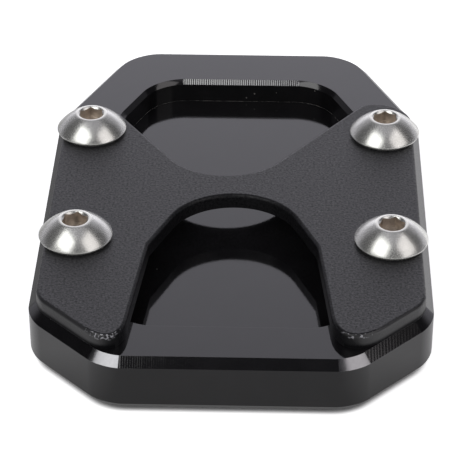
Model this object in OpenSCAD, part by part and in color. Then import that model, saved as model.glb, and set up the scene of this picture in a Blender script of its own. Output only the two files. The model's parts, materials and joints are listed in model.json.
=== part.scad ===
// Kickstand foot enlarger, in millimetres. A wide base plate with a shallow pocket takes the
// foot of a side stand. A clamp plate lies over the pocket and holds the foot down, and four
// button-head socket screws fasten it to the base plate. X runs across the part, the wide
// front end faces -Y, and the part stands on the plane Z = 0.

/* [Base plate] */
// Width across the two parallel sides
base_width = 50.5; // [48:0.1:60]
// Length from the front face to the rear face
base_length = 76.2; // [74:0.1:90]
// Thickness from the ground to the top face
base_thickness = 8; // [7:0.1:14]
// Part of the width and of the length that each front corner loses to its cut
front_cut = 9.9; // [7:0.1:12]
// Part of the width that each rear corner loses to its cut
rear_cut_across = 8.7; // [6:0.1:11]
// Part of the length that each rear corner loses to its cut
rear_cut_along = 19.2; // [15:0.1:22]
// Radius that rounds the four front corners of the outline
front_corner_radius = 6; // [4:0.1:8]
// Radius that rounds the four rear corners of the outline
rear_corner_radius = 7; // [4:0.1:8]
// Bevel along the edge of the top face
top_bevel = 1.1; // [0.4:0.1:2]
// Bevel along the edge of the underside
bottom_bevel = 1.5; // [0.4:0.1:2.5]

/* [Pocket] */
// Depth of the pocket floor below the top face
pocket_depth = 3.3; // [2:0.1:5]
// Solid rim between a side of the base plate and the pocket wall
side_rim = 8.8; // [8.4:0.1:12]
// Solid rim between the rear face and the pocket wall
rear_rim = 9; // [6:0.1:12]
// Solid rim between the front face and the pocket wall
front_rim = 7.8; // [5:0.1:12]
// Solid rim between each cut corner and the slanted pocket wall beside it
corner_rim = 8; // [6:0.1:9]
// Radius that rounds the corners of the pocket wall
pocket_corner_radius = 6; // [2:0.1:7]
// Bevel along the mouth of the pocket
pocket_bevel = 0.6; // [0.2:0.1:1.2]

/* [Clamp plate] */
// Thickness of the clamp plate
plate_thickness = 2; // [1.5:0.1:4]
// Distance that the plate edge keeps from the bevel of the base plate
plate_margin = 0; // [0:0.1:1]
// Radius of the plate corner between each side and its front slant
plate_corner_radius = 4; // [1:0.1:6]
// Width of the bridge between the front arch and the rear notch, at its narrowest
bridge_width = 5; // [4:0.1:8]
// Radius of the rounded top of the front arch
arch_radius = 8.7; // [6:0.1:10]
// Angle of the arch flanks from the X axis
arch_flank_angle = 66.8; // [60:0.1:75]
// Distance from the top of the arch to the shoulders where the legs begin
arch_shoulder_drop = 11.7; // [9:0.1:13]
// Angle at which the inner edges of the legs spread towards the front
leg_spread_angle = 6; // [2:0.1:8]
// Radius that rounds the tip of the left leg
left_tip_radius = 3; // [1.5:0.1:4]
// Radius that rounds the tip of the right leg
right_tip_radius = 3.8; // [1.5:0.1:4]
// Distance that the lowest point of the rear notch lies left of the middle
notch_offset = 1.5; // [0:0.1:3]
// Distance that the lowest point of the rear notch lies ahead of the rear screws
notch_bottom_setback = 11; // [9:0.1:12]
// Radius of the rounded bottom of the rear notch
notch_radius = 8.8; // [6:0.1:10]
// Angle of the left flank of the notch from the X axis
notch_left_angle = 56.3; // [52:0.1:60]
// Angle of the right flank of the notch from the X axis
notch_right_angle = 52.7; // [50:0.1:60]
// Reach of the left lobe behind the centre of its screw
left_lobe_reach = 5.4; // [5:0.1:6]
// Reach of the right lobe behind the centre of its screw
right_lobe_reach = 8.4; // [7:0.1:9]
// Radius that rounds the outer corner of the right lobe
right_lobe_radius = 5; // [3:0.1:6]
// Radius that rounds the inner corners of both lobes and the outer corner of the left one
lobe_corner_radius = 2.6; // [1:0.1:3]

/* [Screws] */
// Distance from each side face to the centres of the screws beside it
screw_inset = 5.05; // [4.8:0.05:5.4]
// Distance from the front face to the centres of the front screws
front_screw_setback = 23.5; // [21:0.1:26]
// Distance from the rear face to the centres of the rear screws
rear_screw_setback = 26.4; // [25:0.1:28]
// Nominal thread diameter of a screw
thread_diameter = 5; // [4:0.1:5.2]
// Gap between the thread of a screw and its tapped hole, on the diameter
thread_clearance = 0.1; // [0.05:0.05:0.3]
// Gap between a screw and its hole in the clamp plate, on the diameter
hole_clearance = 0.5; // [0.3:0.1:1]
// Length of a screw below its head
screw_length = 8; // [6:0.1:9]
// Bevel at the end of a screw
screw_end_bevel = 0.6; // [0.2:0.1:0.8]
// Diameter of the domed head
head_diameter = 9.5; // [8.6:0.1:11]
// Height of the domed head
head_height = 2.75; // [2.2:0.05:3.2]
// Height of the straight land under the dome
head_land = 0.3; // [0.1:0.05:0.6]
// Diameter of the flat on top of the head
head_flat_diameter = 4.6; // [4.2:0.1:5.4]
// Width across the flats of the hexagonal socket
socket_width = 3; // [2.5:0.1:3.2]
// Depth of the hexagonal socket
socket_depth = 1.6; // [1:0.1:1.8]
// Diameter of the countersink at the mouth of the socket
socket_mouth_diameter = 4.1; // [3.7:0.1:4.2]
// Turn of the socket of each screw: rear left, rear right, front left, front right
socket_turns = [38, 30, 22, 12]; // [0:1:60]

/* [Hidden] */
$fn = 96;
overrun = 1;
hair = 0.003;
wedge_overlap = 4;

front_y = -base_length / 2;
rear_y = base_length / 2;
side_x = base_width / 2;
front_screw_y = front_y + front_screw_setback;
rear_screw_y = rear_y - rear_screw_setback;
screw_x = side_x - screw_inset;
plate_top = base_thickness + plate_thickness;
pocket_floor = base_thickness - pocket_depth;

// Vector helpers, and the point where two lines meet, each given by a point and a direction.
function unit(v) = v / norm(v);
function left_of(v) = [-v[1], v[0]];
function cross2(a, b) = a[0] * b[1] - a[1] * b[0];
function meet(p, u, q, v) = p + u * (cross2(q - p, v) / cross2(u, v));
function heading(degrees) = [cos(degrees), sin(degrees)];
function angle_of(v) = atan2(v[1], v[0]);

// A corner b on the way from a to c: how far its rounding reaches, and where its centre is.
function corner_reach(a, b, c, r) =
    r * tan(acos(max(-1, min(1, unit(b - a) * unit(c - b)))) / 2);
function corner_centre(a, b, c, r) =
    b - unit(b - a) * corner_reach(a, b, c, r)
    + left_of(unit(b - a)) * (cross2(b - a, c - b) > 0 ? r : -r);

function previous(list, i) = list[(i + len(list) - 1) % len(list)];
function next(list, i) = list[(i + 1) % len(list)];

// Outline of the base plate, anticlockwise from the right front corner.
base_outline = [
    [side_x - front_cut, front_y], [side_x, front_y + front_cut],
    [side_x, rear_y - rear_cut_along], [side_x - rear_cut_across, rear_y],
    [-side_x + rear_cut_across, rear_y], [-side_x, rear_y - rear_cut_along],
    [-side_x, front_y + front_cut], [-side_x + front_cut, front_y]
];
base_radii = [
    front_corner_radius, front_corner_radius, rear_corner_radius, rear_corner_radius,
    rear_corner_radius, rear_corner_radius, front_corner_radius, front_corner_radius
];

// The pocket follows the base plate inwards: one rim width for each of its eight sides.
rim_widths = [corner_rim, side_rim, corner_rim, rear_rim,
              corner_rim, side_rim, corner_rim, front_rim];
function rim_direction(i) = unit(next(base_outline, i) - base_outline[i]);
function rim_point(i, out) =
    base_outline[i] + left_of(rim_direction(i)) * (rim_widths[i] - out);
function inner_outline(out) = [for (i = [0:7]) let (j = (i + 7) % 8)
    meet(rim_point(j, out), rim_direction(j), rim_point(i, out), rim_direction(i))];
pocket_outline = inner_outline(0);
mouth_outline = inner_outline(pocket_bevel + 2 * overrun);
pocket_radii = [for (i = [0:7]) pocket_corner_radius];

// Front arch of the clamp plate.
notch_bottom_y = rear_screw_y - notch_bottom_setback;
arch_top_y = notch_bottom_y - bridge_width;
arch_centre_y = arch_top_y - arch_radius;
shoulder_y = arch_top_y - arch_shoulder_drop;
arch_tangent = [arch_radius * sin(arch_flank_angle),
                arch_centre_y + arch_radius * cos(arch_flank_angle)];
shoulder = meet(arch_tangent, heading(-arch_flank_angle), [0, shoulder_y], [1, 0]);
leg_heading = heading(-90 + leg_spread_angle);
leg_foot = meet(shoulder, leg_heading, [0, front_y - 3 * overrun], [1, 0]);

// Rear notch of the clamp plate.
notch_centre = [-notch_offset, notch_bottom_y + notch_radius];
notch_left_tangent = notch_centre - notch_radius * [sin(notch_left_angle), cos(notch_left_angle)];
notch_right_tangent = notch_centre + notch_radius * [sin(notch_right_angle), -cos(notch_right_angle)];
notch_left_end = meet(notch_left_tangent, heading(180 - notch_left_angle), [0, rear_y], [1, 0]);
notch_right_end = meet(notch_right_tangent, heading(notch_right_angle), [0, rear_y], [1, 0]);

// Outer corners of the clamp plate, which keeps to the flat of the top face.
plate_inset = top_bevel + plate_margin;
function plate_line(i) = base_outline[i] + left_of(rim_direction(i)) * plate_inset;
plate_side_x = side_x - plate_inset;
left_lobe_y = rear_screw_y + left_lobe_reach;
right_lobe_y = rear_screw_y + right_lobe_reach;
right_side_corner = meet(plate_line(0), rim_direction(0), plate_line(1), rim_direction(1));
left_side_corner = [-right_side_corner[0], right_side_corner[1]];
slant_foot = meet(plate_line(0), rim_direction(0), [0, front_y - overrun], [1, 0]);
right_tip = meet(plate_line(0), rim_direction(0), shoulder, leg_heading);
left_tip = [-right_tip[0], right_tip[1]];
right_lobe_corner = [plate_side_x, right_lobe_y];
right_lobe_inner = meet(notch_right_tangent, heading(notch_right_angle), [0, right_lobe_y], [1, 0]);
left_lobe_corner = [-plate_side_x, left_lobe_y];
left_lobe_inner = meet(notch_left_tangent, heading(180 - notch_left_angle), [0, left_lobe_y], [1, 0]);

// Dome of a screw head: a sphere through the top of the land and the rim of the flat.
dome_rise = head_height - head_land;
dome_drop = (pow(head_diameter / 2, 2) - pow(head_flat_diameter / 2, 2) - pow(dome_rise, 2))
            / (2 * dome_rise);
dome_radius = norm([head_diameter / 2, dome_drop]);
socket_corner_diameter = socket_width / cos(30);
socket_cone_diameter = 0.9 * socket_width;
socket_cone_depth = (socket_mouth_diameter - socket_cone_diameter) / 2;

// Flat outline with rounded corners.
module rounded_outline(outline, radii) {
    difference() {
        polygon(outline);
        for (i = [0:len(outline) - 1])
            corner_sliver(previous(outline, i), outline[i], next(outline, i), radii[i]);
    }
}

// Leans the sides of a convex outline in at 45 degrees from the height z0: upwards where lean
// is 1, downwards where it is -1. The cut reaches far to the lean's side and near to the other.
module lean_in(outline, radii, z0, lean, far, near) {
    difference() {
        difference() {
            children();
            for (i = [0:len(outline) - 1])
                edge_wedge(outline[i], next(outline, i), z0, lean, far, near);
        }
        for (i = [0:len(outline) - 1])
            corner_wedge(previous(outline, i), outline[i], next(outline, i), radii[i],
                         z0, lean, far, near);
    }
}

// Wedge along the whole side from corner b to corner c, and a little past both.
module edge_wedge(b, c, z0, lean, far, near) {
    way = unit(c - b);
    foot = c + way * wedge_overlap;
    translate([foot[0], foot[1], z0])
        rotate([90, 0, angle_of(way) - 90])
            linear_extrude(height = norm(c - b) + 2 * wedge_overlap)
                polygon([[-far, lean * far], [near, -lean * near], [near, lean * far]]);
}

// What the rounding of corner b takes off the mitre between two wedges. The cone stands two
// hairs proud of the slanted sides and one of the upright rounding, so that it crosses both.
module corner_wedge(a, b, c, r, z0, lean, far, near) {
    centre = corner_centre(a, b, c, r);
    out = r + near + overrun;
    first = -left_of(unit(b - a));
    second = -left_of(unit(c - b));
    tip = centre + unit(first + second) * (out / (unit(first + second) * first));
    low = z0 - (lean > 0 ? near : far);
    high = z0 + (lean > 0 ? far : near);
    difference() {
        translate([0, 0, low])
            linear_extrude(height = high - low)
                polygon([centre, centre + first * out, tip, centre + second * out]);
        translate([centre[0], centre[1], low - overrun])
            rotate([0, 0, angle_of(centre - b)])
                cylinder(r1 = r + 2 * hair - lean * (low - overrun - z0),
                         r2 = r + 2 * hair - lean * (high + overrun - z0),
                         h = high - low + 2 * overrun);
    }
}

// The flat sliver that rounding takes off the corner b on the way from a to c.
module corner_sliver(a, b, c, r) {
    centre = corner_centre(a, b, c, r);
    reach = corner_reach(a, b, c, r);
    difference() {
        polygon([b - unit(b - a) * reach, b + unit(b - centre) * overrun,
                 b + unit(c - b) * reach]);
        translate(centre)
            rotate(angle_of(centre - b))
                circle(r = r + hair);
    }
}

// Centres of the four screws: rear left, rear right, front left, front right.
screw_places = [[-screw_x, rear_screw_y], [screw_x, rear_screw_y],
                [-screw_x, front_screw_y], [screw_x, front_screw_y]];

// Outer block of the base plate, bevelled along its top and bottom edges.
module base_block() {
    lean_in(base_outline, base_radii, bottom_bevel, -1, bottom_bevel + overrun, overrun)
        lean_in(base_outline, base_radii, base_thickness - top_bevel, 1,
                top_bevel + overrun, overrun)
            linear_extrude(height = base_thickness)
                rounded_outline(base_outline, base_radii);
}

// Space that the mouth of the pocket widens to, above the straight wall.
module pocket_mouth() {
    lean_in(pocket_outline, pocket_radii, base_thickness - pocket_bevel, -1,
            overrun, pocket_bevel + 3 * overrun)
        translate([0, 0, base_thickness - pocket_bevel - overrun / 2])
            linear_extrude(height = pocket_bevel + 1.5 * overrun)
                polygon(mouth_outline);
}

module base_plate() {
    color([0.05, 0.05, 0.055])
    difference() {
        base_block();
        translate([0, 0, pocket_floor])
            linear_extrude(height = pocket_depth + overrun)
                rounded_outline(pocket_outline, pocket_radii);
        pocket_mouth();
        for (place = screw_places)
            translate([place[0], place[1], -overrun])
                cylinder(d = thread_diameter + thread_clearance,
                         h = base_thickness + 2 * overrun);
    }
}

// Opening between the two front legs: a rounded top, two flanks and the spreading legs.
module arch_opening() {
    polygon([arch_tangent, [-arch_tangent[0], arch_tangent[1]], [-shoulder[0], shoulder[1]],
             [-leg_foot[0], leg_foot[1]], leg_foot, shoulder]);
    translate([0, arch_centre_y])
        rotate(-90)
            circle(r = arch_radius + hair);
}

// Opening between the two rear lobes: a rounded bottom and two flanks of unlike slope.
module notch_opening() {
    polygon([notch_left_tangent, notch_right_tangent, notch_right_end, notch_left_end]);
    translate(notch_centre)
        rotate(90)
            circle(r = notch_radius + hair);
}

module clamp_outline() {
    difference() {
        polygon([slant_foot, right_side_corner, right_lobe_corner,
                 [-notch_offset, right_lobe_y], [-notch_offset, left_lobe_y],
                 left_lobe_corner, left_side_corner, [-slant_foot[0], slant_foot[1]]]);
        arch_opening();
        notch_opening();
        corner_sliver(shoulder, right_tip, right_side_corner, right_tip_radius);
        corner_sliver(left_side_corner, left_tip, [-shoulder[0], shoulder[1]], left_tip_radius);
        corner_sliver(right_tip, right_side_corner, right_lobe_corner, plate_corner_radius);
        corner_sliver(left_lobe_corner, left_side_corner, left_tip, plate_corner_radius);
        corner_sliver(right_side_corner, right_lobe_corner, right_lobe_inner, right_lobe_radius);
        corner_sliver(right_lobe_corner, right_lobe_inner, notch_right_tangent, lobe_corner_radius);
        corner_sliver(notch_left_tangent, left_lobe_inner, left_lobe_corner, lobe_corner_radius);
        corner_sliver(left_lobe_inner, left_lobe_corner, left_side_corner, lobe_corner_radius);
    }
}

module clamp_plate() {
    color([0.1, 0.1, 0.11])
    translate([0, 0, base_thickness])
    difference() {
        linear_extrude(height = plate_thickness)
            clamp_outline();
        for (place = screw_places)
            translate([place[0], place[1], -overrun])
                cylinder(d = thread_diameter + hole_clearance, h = plate_thickness + 2 * overrun);
    }
}

// One button-head screw at a place, with its head resting on the clamp plate.
module button_screw(place, socket_turn) {
    color([0.78, 0.78, 0.77])
    translate([place[0], place[1], plate_top]) {
        difference() {
            union() {
                intersection() {
                    cylinder(d = head_diameter, h = head_height);
                    translate([0, 0, head_land - dome_drop])
                        sphere(r = dome_radius);
                }
                translate([0, 0, -screw_length + screw_end_bevel])
                    cylinder(d = thread_diameter, h = screw_length - screw_end_bevel + head_land);
                translate([0, 0, -screw_length])
                    cylinder(d1 = thread_diameter - 2 * screw_end_bevel, d2 = thread_diameter,
                             h = screw_end_bevel);
            }
            translate([0, 0, head_height - socket_depth])
                rotate([0, 0, socket_turn])
                    cylinder(d = socket_corner_diameter, h = socket_depth + overrun, $fn = 6);
            translate([0, 0, head_height - socket_cone_depth])
                cylinder(d1 = socket_cone_diameter, d2 = socket_mouth_diameter + 2 * overrun,
                         h = socket_cone_depth + overrun);
        }
    }
}

module rear_left_screw() {
    button_screw(screw_places[0], socket_turns[0]);
}

module rear_right_screw() {
    button_screw(screw_places[1], socket_turns[1]);
}

module front_left_screw() {
    button_screw(screw_places[2], socket_turns[2]);
}

module front_right_screw() {
    button_screw(screw_places[3], socket_turns[3]);
}

base_plate();
clamp_plate();
rear_left_screw();
rear_right_screw();
front_left_screw();
front_right_screw();
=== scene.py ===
# %% [markdown]
# # Kickstand foot enlarger
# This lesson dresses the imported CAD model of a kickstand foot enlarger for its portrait. The
# real thing is a black anodised aluminium base plate with a milled pocket, a black coated
# clamp plate over it, and four stainless button-head screws. The CAD nodes are the frame:
# they give the overall sizes and places, and each new piece stands where its node is.

# %% Load the frame
import json
from math import cos, degrees, pi, radians, sin, tan

import bpy
from mathutils import Matrix, Vector

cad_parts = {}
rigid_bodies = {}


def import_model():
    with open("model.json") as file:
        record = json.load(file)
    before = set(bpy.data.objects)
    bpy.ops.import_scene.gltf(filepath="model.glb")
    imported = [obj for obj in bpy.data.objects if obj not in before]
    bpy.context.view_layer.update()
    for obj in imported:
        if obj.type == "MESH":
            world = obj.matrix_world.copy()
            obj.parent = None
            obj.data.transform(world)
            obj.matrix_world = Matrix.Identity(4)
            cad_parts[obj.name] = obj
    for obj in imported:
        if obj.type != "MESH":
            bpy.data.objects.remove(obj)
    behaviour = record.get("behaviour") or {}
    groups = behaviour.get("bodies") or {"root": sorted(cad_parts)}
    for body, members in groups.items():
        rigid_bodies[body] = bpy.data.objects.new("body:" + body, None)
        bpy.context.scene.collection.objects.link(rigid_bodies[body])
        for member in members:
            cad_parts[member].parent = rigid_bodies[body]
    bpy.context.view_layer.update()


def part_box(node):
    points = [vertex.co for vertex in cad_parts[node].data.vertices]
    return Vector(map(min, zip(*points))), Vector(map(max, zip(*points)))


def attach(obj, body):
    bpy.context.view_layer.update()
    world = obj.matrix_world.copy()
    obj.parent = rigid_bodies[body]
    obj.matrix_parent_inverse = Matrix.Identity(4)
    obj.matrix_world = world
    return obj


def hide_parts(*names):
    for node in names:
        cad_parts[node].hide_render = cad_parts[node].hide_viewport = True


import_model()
MM = 0.001


def in_mm(lengths):
    return [round(length / MM, 2) for length in lengths]


# %% [markdown]
# ## The sizes to work from
# The boxes of the CAD nodes give the overall sizes, so the pieces follow if the part is
# packed again. The rest is written in a drawing's own terms, such as how much each corner is
# cut and how wide each bevel is.

# %% Sizes of the base plate
base_low, base_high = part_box("base_plate")
side_x = base_high.x
rear_y = base_high.y
front_y = base_low.y
top_z = base_high.z
front_cut = 9.9 * MM
rear_cut_across = 8.7 * MM
rear_cut_along = 19.2 * MM
front_corner_radius = 6 * MM
rear_corner_radius = 7 * MM
top_bevel = 1.1 * MM
bottom_bevel = 1.5 * MM
print("base plate:", in_mm(base_high - base_low), "mm")

# %% Places of the screws
screws = ["rear_left_screw", "rear_right_screw", "front_left_screw", "front_right_screw"]
screw_places = {}
for name in screws:
    low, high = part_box(name)
    screw_places[name] = Vector(((low.x + high.x) / 2, (low.y + high.y) / 2, 0))
    print(name, in_mm(screw_places[name].xy), "mm")

# %% [markdown]
# ## Base plate: start from a block
# The real plate is sawn from 8 mm aluminium bar. A cube primitive stretched to the CAD box is
# the same bar. By hand one would add the cube and type its size. In a script everything is
# deselected first, because an operator acts on all that is selected, and the loaded CAD
# nodes still are.

# %% A block as large as the plate
def take_up(piece):
    """Makes a piece the only one selected, and the active one."""
    bpy.ops.object.select_all(action="DESELECT")
    piece.select_set(True)
    bpy.context.view_layer.objects.active = piece


def settle(piece):
    """Puts a piece's place into its mesh, so that its object sits at the origin."""
    take_up(piece)
    bpy.ops.object.transform_apply(location=True, rotation=True, scale=True)


def add_block(name, low, high):
    """A cube primitive stretched between two corners."""
    bpy.ops.object.select_all(action="DESELECT")
    low, high = Vector(low), Vector(high)
    bpy.ops.mesh.primitive_cube_add(size=1, location=(low + high) / 2, scale=high - low)
    piece = bpy.context.object
    piece.name = name
    settle(piece)
    return piece


base = add_block("base_body", base_low, base_high)
print("block:", len(base.data.polygons), "faces")

# %% [markdown]
# ## Base plate: the outline
# The outline is an oblong with its front corners cut at 45 degrees and its rear corners at a
# steeper angle. It could be drawn as a polygon and extruded. Here the block is sliced with
# Bisect, once at each corner, because the same slices also shape the pocket and the clamp
# plate, which run side by side with them.

# %% Slice off the four corners
diagonals = {
    "front": (Vector((side_x - front_cut, front_y)), Vector((1, -1)).normalized()),
    "rear": (Vector((side_x, rear_y - rear_cut_along)),
             Vector((rear_cut_along, rear_cut_across)).normalized()),
}


def slice_away(piece, point, outward):
    """Bisects a piece, drops what lies outward of the plane and closes the cut."""
    take_up(piece)
    bpy.ops.object.mode_set(mode="EDIT")
    bpy.ops.mesh.select_all(action="SELECT")
    bpy.ops.mesh.bisect(plane_co=point, plane_no=outward, use_fill=True,
                        clear_outer=True, threshold=0.001 * MM)
    bpy.ops.object.mode_set(mode="OBJECT")


def cut_diagonals(piece, which, inset=0.0):
    """Slices a piece along the plate's slanted sides, or along lines inset from them."""
    for end in which:
        point, outward = diagonals[end]
        on_line = point - outward * inset
        for hand in (-1, 1):
            slice_away(piece, (hand * on_line.x, on_line.y, 0), (hand * outward.x, outward.y, 0))


cut_diagonals(base, ("front", "rear"))
print("sliced block:", len(base.data.polygons), "faces")

# %% [markdown]
# The mill leaves each corner of the outline round. By hand one clicks the upright edge and
# presses Ctrl+B. In the script the edge is found by its place, and the same operator follows.
# Bevel wants the distance from the edge to where the rounding starts, so that is worked out
# from the radius and the angle between the two sides. Ten steps to a corner keep its strips
# wide enough for Weighted Normal to shade them all alike later on.

# %% Find edges by their place
def choose_edges(piece, test):
    """Enters edit mode with only the edges selected whose two ends pass a test."""
    take_up(piece)
    bpy.ops.object.mode_set(mode="EDIT")
    bpy.ops.mesh.select_mode(type="EDGE")
    bpy.ops.mesh.select_all(action="DESELECT")
    bpy.ops.object.mode_set(mode="OBJECT")
    ends = piece.data.vertices
    for edge in piece.data.edges:
        edge.select = test(ends[edge.vertices[0]].co, ends[edge.vertices[1]].co)
    bpy.ops.object.mode_set(mode="EDIT")


def upright_edges(piece):
    """The plan places of a piece's upright edges."""
    ends = piece.data.vertices
    places = []
    for edge in piece.data.edges:
        a, b = ends[edge.vertices[0]].co, ends[edge.vertices[1]].co
        if (a - b).xy.length < 0.001 * MM and abs(a.z - b.z) > 0.5 * MM:
            places.append(a.xy.copy())
    return places


print("upright edges:", len(upright_edges(base)))

# %% Round the upright edges
outline_steps = 10
pocket_steps = 14


def bevel_chosen(width, steps):
    """Bevels the chosen edges, as Ctrl+B does, and leaves edit mode."""
    bpy.ops.mesh.bevel(offset=width, offset_type="OFFSET", segments=steps, profile=0.5,
                       affect="EDGES", clamp_overlap=False)
    bpy.ops.object.mode_set(mode="OBJECT")


def round_upright(piece, place, radius, steps):
    """Bevels the upright edge at a place into a fillet of a given radius."""
    near = 0.02 * MM
    choose_edges(piece, lambda a, b: (a.xy - place).length < near and (b.xy - place).length < near)
    bpy.ops.object.mode_set(mode="OBJECT")
    edge = next(e for e in piece.data.edges if e.select)
    sides = [p.normal for p in piece.data.polygons if edge.key in p.edge_keys]
    reach = radius * tan(sides[0].angle(sides[1]) / 2)
    bpy.ops.object.mode_set(mode="EDIT")
    bevel_chosen(reach, steps)


for corner in upright_edges(base):
    corner_radius = front_corner_radius if corner.y < 0 else rear_corner_radius
    round_upright(base, corner, corner_radius, outline_steps)
print("rounded block:", len(base.data.polygons), "faces")

# %% [markdown]
# A chamfer mill takes off the edge all round the top face and all round the underside. The
# edges to bevel are those that lie level at the height of each face.

# %% Bevel the top and the underside
def bevel_level(piece, z, width, steps=1, keep=lambda point: True):
    """Bevels the level edges at a height, all of them or those that keep accepts."""
    level = 0.005 * MM
    choose_edges(piece, lambda a, b: abs(a.z - z) < level and abs(b.z - z) < level
                 and keep(a) and keep(b))
    bevel_chosen(width, steps)


bevel_level(base, top_z, top_bevel)
bevel_level(base, base_low.z, bottom_bevel)
print("bevelled block:", len(base.data.polygons), "faces")

# %% [markdown]
# ## Base plate: the pocket
# The foot of the stand sits in a shallow milled pocket, which keeps a rim of its own width
# along each side. Insetting the top face would give every side the same rim. So a cutter
# block is shaped like the plate itself, by the same slices and the same bevel of its upright
# edges, and a Boolean takes it out.

# %% Sizes of the pocket
pocket_depth = 3.3 * MM
side_rim = 8.8 * MM
rear_rim = 9 * MM
front_rim = 7.8 * MM
corner_rim = 8 * MM
pocket_corner_radius = 6 * MM
pocket_bevel = 0.6 * MM
pocket_side_x = side_x - side_rim
pocket_front_y = front_y + front_rim
pocket_rear_y = rear_y - rear_rim
past = 1 * MM  # how far a cutter reaches out of what it cuts
print("pocket:", in_mm((2 * pocket_side_x, pocket_rear_y - pocket_front_y, pocket_depth)), "mm")


# %% Cut the pocket
def cut_with(piece, cutter):
    """Takes a cutter out of a piece with a Boolean modifier, and deletes the cutter."""
    take_up(piece)
    cut = piece.modifiers.new("cut", "BOOLEAN")
    cut.operation = "DIFFERENCE"
    cut.solver = "EXACT"
    cut.object = cutter
    bpy.ops.object.modifier_apply(modifier=cut.name)
    bpy.data.objects.remove(cutter)


pocket = add_block("pocket_cutter", (-pocket_side_x, pocket_front_y, top_z - pocket_depth),
                   (pocket_side_x, pocket_rear_y, top_z + past))
cut_diagonals(pocket, ("front", "rear"), corner_rim)
for corner in upright_edges(pocket):
    round_upright(pocket, corner, pocket_corner_radius, pocket_steps)
cut_with(base, pocket)
print("with the pocket:", len(base.data.polygons), "faces")

# %% [markdown]
# The same chamfer mill runs round the mouth of the pocket. The outline of the plate lies at
# the same height and has its bevel already, so the edges are told apart by where they lie.

# %% Bevel the mouth of the pocket
def at_the_mouth(point):
    """True for a point of the top face that lies on the edge of the pocket."""
    margin = 0.1 * MM
    return (abs(point.x) < pocket_side_x + margin
            and pocket_front_y - margin < point.y < pocket_rear_y + margin)


bevel_level(base, top_z, pocket_bevel, keep=at_the_mouth)
print("with the bevelled mouth:", len(base.data.polygons), "faces")

# %% [markdown]
# ## Base plate: the holes
# Four tapped holes pass through the rim, with a small lead-in below. A hole could be drawn as
# a circle on each face and bridged. A rod and a cone taken out with Booleans are quicker and
# always round. They have 64 sides each, since the screws hide all but their lower ends.

# %% Bore the four holes
bore_radius = 2.55 * MM
lead_in_radius = 3.05 * MM
lead_in_low_z = -0.2 * MM
lead_in_high_z = 0.3 * MM
bore_sides = 64


def add_rod(name, centre, radius, low_z, high_z, sides, turn=0.0, top_radius=None):
    """An upright cylinder or cone primitive between two heights."""
    bpy.ops.object.select_all(action="DESELECT")
    bpy.ops.mesh.primitive_cone_add(
        vertices=sides, radius1=radius, radius2=radius if top_radius is None else top_radius,
        depth=high_z - low_z, location=(centre[0], centre[1], (low_z + high_z) / 2),
        rotation=(0, 0, turn))
    piece = bpy.context.object
    piece.name = name
    settle(piece)
    return piece


for place in screw_places.values():
    cut_with(base, add_rod("bore_cutter", place, bore_radius, -past, top_z + past, bore_sides))
    cut_with(base, add_rod("lead_in_cutter", place, lead_in_radius, lead_in_low_z,
                           lead_in_high_z, bore_sides, top_radius=bore_radius))
print("bored plate:", len(base.data.polygons), "faces")

# %% [markdown]
# ## Base plate: break the edges
# No real edge is quite sharp: tumbling takes off a tenth of a millimetre, and that rounding
# is what catches the light. A Bevel modifier finds every edge by its angle, which no one
# would want to click. Weighted Normal then keeps the flat faces looking flat beside their
# tiny roundings.

# %% Break the edges of the base plate
def break_edges(piece, width, angle=24):
    """Rounds every edge sharper than an angle, and smooths the shading."""
    take_up(piece)
    bevel = piece.modifiers.new("edge break", "BEVEL")
    bevel.width = width
    bevel.segments = 2
    bevel.limit_method = "ANGLE"
    bevel.angle_limit = radians(angle)
    bevel.use_clamp_overlap = True
    bpy.ops.object.modifier_apply(modifier=bevel.name)
    bpy.ops.object.shade_smooth_by_angle(angle=radians(40))
    weigh = piece.modifiers.new("weighted normals", "WEIGHTED_NORMAL")
    weigh.keep_sharp = True
    weigh.weight = 100
    bpy.ops.object.modifier_apply(modifier=weigh.name)


break_edges(base, 0.12 * MM)
print("finished base plate:", len(base.data.polygons), "faces")

# %% [markdown]
# ## Clamp plate
# This plate is cut from 2 mm sheet and powder coated. Its outline follows the base plate just
# inside the bevel. A rounded arch opens it to the front and a rounded notch to the rear, so
# it looks like a letter X with two long legs. It could be traced as a curve and extruded.
# Here sawn blocks and rods cut it, because each edge of the real plate is a straight line or
# an arc, and a measured arc is smoother than a traced one.

# %% Sizes of the clamp plate
plate_low, plate_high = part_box("clamp_plate")
rear_screw_y = screw_places["rear_left_screw"].y
notch_bottom_y = rear_screw_y - 11 * MM
notch_radius = 8.8 * MM
notch_centre = Vector((-1.5 * MM, notch_bottom_y + notch_radius))
notch_left = radians(56.3)
notch_right = radians(52.7)
bridge_width = 5 * MM
arch_radius = 8.7 * MM
arch_top_y = notch_bottom_y - bridge_width
arch_centre = Vector((0, arch_top_y - arch_radius))
arch_flank = radians(66.8)
shoulder_y = arch_top_y - 11.7 * MM
leg_spread = radians(6)
left_lobe_y = rear_screw_y + 5.4 * MM
right_lobe_y = rear_screw_y + 8.4 * MM
print("clamp plate:", in_mm(plate_high - plate_low), "mm")

# %% [markdown]
# The blank runs past the front of the base plate and is sliced along the same two slanted
# sides, inset by the bevel. Behind, the right lobe reaches 3 mm further than the left one, so
# the blank takes the longer one, and a block cuts the left one back.

# %% The blank and its left lobe
far = 60 * MM
arc_sides = 144
cutter_low_z = plate_low.z - past
cutter_high_z = plate_high.z + past
plate_x = side_x - top_bevel
tip_y = front_y - 3 * MM  # past the tips of the legs, which the front slices cut
plate = add_block("clamp_body", (-plate_x, tip_y, plate_low.z),
                  (plate_x, right_lobe_y, plate_high.z))
cut_diagonals(plate, ("front",), top_bevel)
cut_with(plate, add_block("lobe_cutter", (-far, left_lobe_y, cutter_low_z),
                          (notch_centre.x, far, cutter_high_z)))
print("blank:", len(plate.data.polygons), "faces")

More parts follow.
